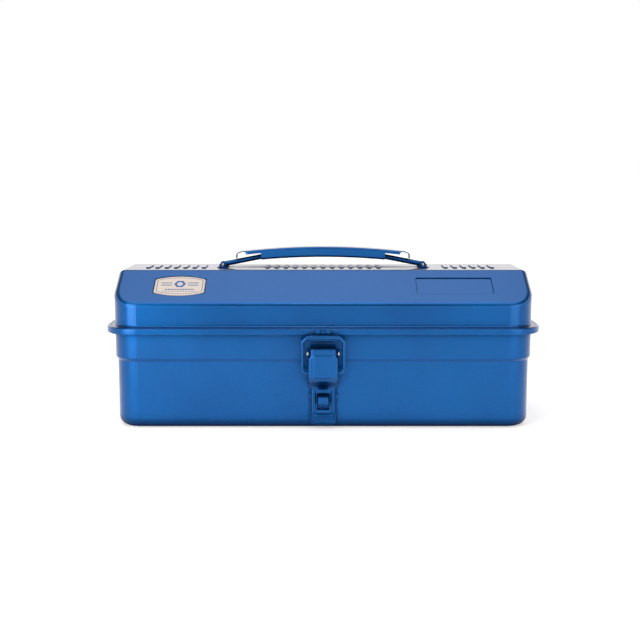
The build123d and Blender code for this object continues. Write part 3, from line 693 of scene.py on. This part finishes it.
class TOOLBOX_OT_pin_heads(Operator):
    """Domed heads on the ends of the lever's pin"""

    bl_idname = "toolbox.pin_heads"
    bl_label = "Pin heads"

    def execute(self, context):
        """A profile of radius against reach, turned about the pin's axis: shank, flank, dome."""
        low, high = (np.array(corner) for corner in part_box("latch_lever_pin"))
        middle = (low + high) / 2
        head = context.scene.toolbox_latch.pin_head
        rise = np.linspace(0, math.pi / 2, 12)
        radius = np.concatenate([[0.0, head], head * np.cos(rise)])
        shank, flank, dome = 1.3 * MM, 0.8 * MM, 1.4 * MM
        reach = np.concatenate([[0.0, 0.0], flank + dome * np.sin(rise)])
        turn = np.linspace(0, 2 * math.pi, 32, endpoint=False)[:, None]
        for side, side_name in ((-1, "left"), (1, "right")):
            x = np.broadcast_to(side * (high[0] - shank + reach), (len(turn), len(reach)))
            y = middle[1] + side * radius * np.cos(turn)
            z = middle[2] + radius * np.sin(turn)
            points = np.stack([x, y, z], axis=-1)
            zinc = finish_on("hinge_pin_left")
            name = f"pin_head_{side_name}"
            grid_piece(name, points, "tray", zinc, closed=(True, False))
        return {"FINISHED"}


class TOOLBOX_OT_base_bead(Operator):
    """Raised bead round the foot of the latch's base plate"""

    bl_idname = "toolbox.base_bead"
    bl_label = "Base bead"

    def execute(self, context):
        """A circle carried along a U of two straight runs and two arcs.

        The U is the plate's edge, and the circle narrows to a fiftieth at both ends.
        """
        radius = context.scene.toolbox_latch.bead
        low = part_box("latch_base_plate")[0]
        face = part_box("latch_base_rivets")[0][1] + 1.0 * MM
        plate_half, corner_radius, height = 10.7 * MM, 3.0 * MM, 32.0 * MM
        side = plate_half - radius
        foot = low[2] + radius
        head = low[2] + height
        corners = [(-side, face, head), (-side, face, foot), (side, face, foot), (side, face, head)]
        path = rounded_path(corners, corner_radius, 0.3 * MM)
        straight = lines_between([0.0, 1.0], 0.01)[:, None]
        down = path[0] + (path[1] - path[0]) * straight[:-1]
        up = path[-2] + (path[-1] - path[-2]) * straight[1:]
        path = np.concatenate([down, path[1:-1], up])
        points = tube_points(path, np.array([0.0, -1.0, 0.0]), radius, 16)
        along = np.linspace(0, 12, len(path))
        fade = np.clip(np.minimum(smooth(along), smooth(along[::-1])), 0.02, 1)
        centre = path[:, None]
        points = centre + (points - centre) * fade[:, None, None]
        enamel = finish_on("lid_shell")
        grid_piece("base_bead", points, "tray", enamel, closed=(False, True))
        return {"FINISHED"}


class TOOLBOX_OT_badge(Operator):
    """Printed badge on the lid's front slope"""

    bl_idname = "toolbox.badge"
    bl_label = "Badge"

    def execute(self, context):
        """A plate with upright ends and bowed long sides; its grid is square to the slope.

        The half height is that of a circle's arc over the width, less a rounded corner. The ink is
        1 on a line inside the outline, on a six-sided nut with a round hole, and on plain bars.
        """
        settings = context.scene.toolbox_badge
        node = frame["nodes"]["label_plate"]
        corners = np.array([vertex.co for vertex in node.data.vertices])
        centre = (corners.min(axis=0) + corners.max(axis=0)) / 2
        across = np.array([1.0, 0.0, 0.0])
        up = np.array([0.0, math.cos(LID_SLOPE), math.sin(LID_SLOPE)])
        out = np.array([0.0, -math.sin(LID_SLOPE), math.cos(LID_SLOPE)])
        half_width, half_side, half_middle, corner = 20.75 * MM, 9.0 * MM, 13.0 * MM, 1.5 * MM
        thickness, edge_drop, edge_width = 0.4 * MM, 0.15 * MM, 0.4 * MM

        u = np.linspace(-1, 1, 281)[None, :]
        v = np.linspace(-1, 1, 161)[:, None]
        x = u * half_width
        bow = half_middle - half_side
        bow_radius = (half_width**2 + bow**2) / (2 * bow)
        half_height = half_middle - bow_radius + np.sqrt(bow_radius**2 - x**2)
        near_end = np.clip(corner - (half_width - np.abs(x)), 0, corner)
        half_height = half_height - corner + np.sqrt(corner**2 - near_end**2)
        y = v * half_height
        x, y = np.broadcast_arrays(x, y)

        edge = np.minimum(half_width - np.abs(x), half_height - np.abs(y))
        ink = self.ink(x / MM, y / MM, edge / MM, settings.line / MM)
        rise = thickness / 2 - edge_drop * (1 - smooth(edge / edge_width))
        points = centre + x[..., None] * across + y[..., None] * up + rise[..., None] * out
        piece = grid_piece("badge", points, "lid", badge_print(settings))
        ink_layer = piece.data.attributes.new("ink", "FLOAT", "POINT")
        ink_layer.data.foreach_set("value", ink.ravel().astype(np.float32))
        wall = piece.modifiers.new("wall", "SOLIDIFY")
        wall.thickness = 0.3 * MM
        wall.offset = -1.0
        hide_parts("label_plate")
        return {"FINISHED"}

    def ink(self, x, y, edge, line):
        """Printing over the badge, from 0 to 1; lengths in millimetres."""
        sharp, frame_inset = 0.16, 1.9
        nut_rise, nut_half, nut_hole = 2.4, 4.3, 2.3
        bar_half, bar_start, bar_end = 0.55, 6.6, 15.5
        dash_pitch, dash_half = 2.4, 0.85

        def inside(*distances):
            return smooth(np.minimum.reduce(np.broadcast_arrays(*distances)) / sharp + 0.5)

        nut_y = y - nut_rise
        slanted = np.abs(x) * math.cos(math.pi / 6) + np.abs(nut_y) / 2
        six_sided = np.maximum(slanted, np.abs(nut_y))
        marks = [
            inside(line / 2 - np.abs(edge - frame_inset)),
            inside(nut_half - six_sided, np.hypot(x, nut_y) - nut_hole),
        ]
        for height in (3.9, 0.9):
            beside_nut = np.minimum(np.abs(x) - bar_start, bar_end - np.abs(x))
            marks.append(inside(bar_half - np.abs(y - height), beside_nut))
        dash = dash_half - np.abs((np.abs(x) / dash_pitch) % 1 * dash_pitch - dash_pitch / 2)
        for height, half, end in ((-5.0, 0.75, 12.2), (-7.6, 0.35, 14.0)):
            marks.append(inside(half - np.abs(y - height), end - np.abs(x), dash))
        return np.maximum.reduce(marks)


class TOOLBOX_PT_panel(Panel):
    """Tool box pieces and finishes"""

    bl_label = "Tool Box"
    bl_space_type = "VIEW_3D"
    bl_region_type = "UI"
    bl_category = "Tool Box"

    def draw(self, context):
        layout = self.layout
        scene = context.scene
        for name in SETTINGS:
            group = getattr(scene, name)
            for key in group.__annotations__:
                layout.prop(group, key)
        for operator in PIECES:
            layout.operator(operator.bl_idname)


SETTINGS = {
    "toolbox_enamel": EnamelSettings,
    "toolbox_latch": LatchSettings,
    "toolbox_badge": BadgeSettings,
    "toolbox_studio": StudioSettings,
}
PIECES = (
    TOOLBOX_OT_stage,
    TOOLBOX_OT_enamel,
    TOOLBOX_OT_lever,
    TOOLBOX_OT_pin_heads,
    TOOLBOX_OT_base_bead,
    TOOLBOX_OT_badge,
)
CLASSES = (*SETTINGS.values(), *PIECES, TOOLBOX_PT_panel)


def register():
    for cls in CLASSES:
        bpy.utils.register_class(cls)
    for name, group in SETTINGS.items():
        setattr(bpy.types.Scene, name, PointerProperty(type=group))


def unregister():
    for name in SETTINGS:
        delattr(bpy.types.Scene, name)
    for cls in reversed(CLASSES):
        bpy.utils.unregister_class(cls)


def main():
    register()
    bpy.ops.toolbox.stage()
    bpy.ops.toolbox.enamel()
    bpy.ops.toolbox.lever()
    bpy.ops.toolbox.pin_heads()
    bpy.ops.toolbox.base_bead()
    bpy.ops.toolbox.badge()


if __name__ == "__main__":
    main()
